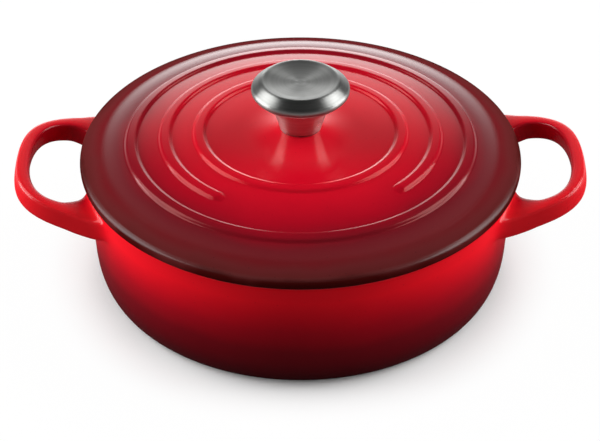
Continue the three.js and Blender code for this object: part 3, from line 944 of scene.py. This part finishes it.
def cap_section():
    """From the middle of the underside out to the edge, up the band and over the dish to the middle."""
    edge_middle = Vector((KNOB_RADIUS - CAP_EDGE_ROUND, CAP_SEAM + CAP_EDGE_ROUND))
    crest_middle = Vector((DISH_RADIUS, CAP_TOP - CREST_ROUND))
    run = edge_middle.x - crest_middle.x
    drop = crest_middle.y - edge_middle.y
    # The straight band touches both rounds, so it faces across the line that joins them.
    band = math.acos((CREST_ROUND - CAP_EDGE_ROUND) / math.hypot(run, drop)) - math.atan2(drop, run)
    band = math.degrees(band)
    edge = section_arc(edge_middle, (CAP_EDGE_ROUND, CAP_EDGE_ROUND), -90, band, count=14)
    crest = section_arc(crest_middle, (CREST_ROUND, CREST_ROUND), band, 90 + CREST_LEAN, count=10)
    rim_radius, rim_height = crest[-1]
    shares = [i / DISH_POINTS for i in range(DISH_POINTS)]
    dish = [(rim_radius * s, rim_height - DISH_DEPTH * (1 - s**DISH_POWER)) for s in shares]
    under = [(radius, rise - KNOB_SHEET) for radius, rise in dish]
    land = (KNOB_RADIUS - STEM_INSET - KNOB_LAND, CAP_SEAM)
    return [*under, land, *edge, *crest, *reversed(dish)]


cap_steel = brushed_steel(
    "cap_brushed_steel", CAP_GREYS_AND_SHADE, roughness=0.36, line_scale=600, line_depth=0.0012
)
cap = new_object("knob_dished_cap", turned(cap_section(), KNOB_FOOT, KNOB_STEPS), cap_steel)
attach(cap, "lid")
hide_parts("knob_cap")


# Knob insert: a turned steel bush welded into the foot of the stem, with the thread for the screw.
# Its ends are chamfered, and the groove round it takes the weld.
INSERT_RADIUS = KNOB_FOOT_RADIUS - KNOB_SHEET - FIT_GAP
INSERT_BORE = 3.3
INSERT_LENGTH = 12.0
INSERT_CHAMFER = 0.5
WELD_GROOVE = 0.4
WELD_HEIGHT = 4.0
THREAD_PITCH = 1.0
THREAD_DEPTH = 0.5
THREAD_ROWS = 8  # rows of points for each turn of a thread
THREAD_SLACK = 0.05
FITTING_STEPS = 64
FITTING_GREYS = ((0.3, (150, 151, 149)), (0.7, (164, 165, 163)))


def thread_rows(start, stop):
    """Heights of the rows that a thread is cut into."""
    count = round((stop - start) * THREAD_ROWS / THREAD_PITCH)
    return [start + (stop - start) * i / count for i in range(count + 1)]


def cut_thread(shape, radius, start, stop, depth):
    """Moves the points of a plain cylinder to a right-hand thread. A depth below zero cuts outwards."""
    for vert in shape.verts:
        rise = vert.co.z - start
        if 0 <= rise <= stop - start and abs(vert.co.xy.length - radius) < THREAD_SLACK:
            turn = math.atan2(vert.co.y, vert.co.x) / (2 * math.pi)
            wave = abs(2 * ((rise / THREAD_PITCH - turn) % 1) - 1)
            run_out = min(1, rise / THREAD_PITCH, (stop - vert.co.z) / THREAD_PITCH)
            vert.co.xy *= (radius - depth * wave * run_out) / radius
    shape.normal_update()


def insert_section():
    """Along the foot, up the outside past the weld's groove, over the top and down the bore."""
    outer, bore, chamfer = INSERT_RADIUS, INSERT_BORE, INSERT_CHAMFER
    rows = thread_rows(chamfer, INSERT_LENGTH - chamfer)
    return [
        (bore + chamfer, 0),
        (outer - chamfer, 0),
        (outer, chamfer),
        (outer, WELD_HEIGHT - WELD_GROOVE),
        (outer - WELD_GROOVE, WELD_HEIGHT),
        (outer, WELD_HEIGHT + WELD_GROOVE),
        (outer, INSERT_LENGTH - chamfer),
        (outer - chamfer, INSERT_LENGTH),
        (bore + chamfer, INSERT_LENGTH),
        *((bore, row) for row in reversed(rows)),
    ]


fitting_steel = brushed_steel(
    "fitting_steel", FITTING_GREYS, roughness=0.34, line_scale=900, line_depth=0.008
)
insert_shape = turned(insert_section(), KNOB_FOOT, FITTING_STEPS)
bore_low = KNOB_FOOT + INSERT_CHAMFER
bore_high = KNOB_FOOT + INSERT_LENGTH - INSERT_CHAMFER
cut_thread(insert_shape, INSERT_BORE, bore_low, bore_high, -THREAD_DEPTH / 2)
insert = new_object("knob_threaded_bush", insert_shape, fitting_steel)
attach(insert, "lid")
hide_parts("knob_insert")


# Washer: a plain stamped steel ring between the screw's head and the lid.
# The punch rounds its upper edges and leaves the lower ones sharper.
WASHER_TOP = LID_SEAT + PAD_HEIGHT - FIT_GAP
WASHER_THICKNESS = 1.2
WASHER_RADIUS = 7.4
WASHER_ROUND = 0.4
WASHER_BURR = 0.12


def washer_section():
    """Along the underside, up the outside, over the top and down the hole."""
    high = WASHER_THICKNESS - WASHER_ROUND
    round_over = (WASHER_ROUND, WASHER_ROUND)
    return [
        (SCREW_HOLE + WASHER_BURR, 0),
        (WASHER_RADIUS - WASHER_BURR, 0),
        (WASHER_RADIUS, WASHER_BURR),
        *section_arc((WASHER_RADIUS - WASHER_ROUND, high), round_over, 0, 90, count=4),
        *section_arc((SCREW_HOLE + WASHER_ROUND, high), round_over, 90, 180, count=4),
        (SCREW_HOLE, WASHER_BURR),
    ]


washer_shape = turned(washer_section(), WASHER_TOP - WASHER_THICKNESS, FITTING_STEPS)
washer = new_object("knob_screw_washer", washer_shape, fitting_steel)
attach(washer, "washer")
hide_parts("knob_washer")


# Screw: a steel pan-head machine screw, put in from inside the lid and turned by the slot across its head.
# Its rolled thread runs from just above the head to the pointed end.
HEAD_TOP = WASHER_TOP - WASHER_THICKNESS - FIT_GAP
HEAD_HEIGHT = 3.4
HEAD_RADIUS = 5.8
HEAD_ROUND = 1.6
HEAD_BREAK = 0.2  # broken edge under the head, and the fillet at the shank
HEAD_SLACK = 0.05
SLOT_LENGTH = 7.0
SLOT_WIDTH = 1.4
SLOT_DEPTH = 1.6
SHANK_RADIUS = 3.0
SHANK_LENGTH = 19.1
SHANK_POINT = 0.8
THREAD_START = 1.0
BISECT_DISTANCE = 0.0001
SHARP_ANGLE = 35.0  # degrees at which an edge stays sharp in the shading


def screw_section():
    """From the middle of the driving face out over the head and up the shank to the point."""
    low = -HEAD_HEIGHT
    rows = thread_rows(THREAD_START, SHANK_LENGTH - SHANK_POINT)
    head_middle = (HEAD_RADIUS - HEAD_ROUND, low + HEAD_ROUND)
    return [
        (0, low),
        *section_arc(head_middle, (HEAD_ROUND, HEAD_ROUND), -90, 0, count=6),
        (HEAD_RADIUS, -HEAD_BREAK),
        (HEAD_RADIUS - HEAD_BREAK, 0),
        (SHANK_RADIUS + HEAD_BREAK, 0),
        (SHANK_RADIUS, HEAD_BREAK),
        *((SHANK_RADIUS, row) for row in rows),
        (SHANK_RADIUS - SHANK_POINT, SHANK_LENGTH),
        (0, SHANK_LENGTH),
    ]


def cut_slot(shape):
    """Presses the driving slot into the flat of the head."""
    face_height = HEAD_TOP - HEAD_HEIGHT + HEAD_SLACK
    for axis, half in (((1, 0, 0), SLOT_LENGTH / 2), ((0, 1, 0), SLOT_WIDTH / 2)):
        for side in (-1, 1):
            flat = [face for face in shape.faces if face.calc_center_median().z < face_height]
            edges = {edge for face in flat for edge in face.edges}
            corners = {vert for face in flat for vert in face.verts}
            bmesh.ops.bisect_plane(
                shape,
                geom=[*flat, *edges, *corners],
                dist=BISECT_DISTANCE,
                plane_co=Vector(axis) * side * half,
                plane_no=axis,
            )
    bottom = []
    for face in shape.faces:
        middle = face.calc_center_median()
        inside = abs(middle.x) < SLOT_LENGTH / 2 and abs(middle.y) < SLOT_WIDTH / 2
        if inside and middle.z < face_height:
            bottom.append(face)
    pressed = bmesh.ops.extrude_face_region(shape, geom=bottom)["geom"]
    sunk = [item for item in pressed if isinstance(item, bmesh.types.BMVert)]
    bmesh.ops.delete(shape, geom=bottom, context="FACES")
    bmesh.ops.translate(shape, vec=(0, 0, SLOT_DEPTH), verts=sunk)
    bmesh.ops.recalc_face_normals(shape, faces=shape.faces)


screw_shape = turned(screw_section(), HEAD_TOP, FITTING_STEPS)
thread_low = HEAD_TOP + THREAD_START
thread_high = HEAD_TOP + SHANK_LENGTH - SHANK_POINT
cut_thread(screw_shape, SHANK_RADIUS, thread_low, thread_high, THREAD_DEPTH)
cut_slot(screw_shape)
screw = new_object("knob_fixing_screw", screw_shape, fitting_steel)
screw.data.set_sharp_from_angle(angle=math.radians(SHARP_ANGLE))
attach(screw, "screw")
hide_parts("knob_screw")
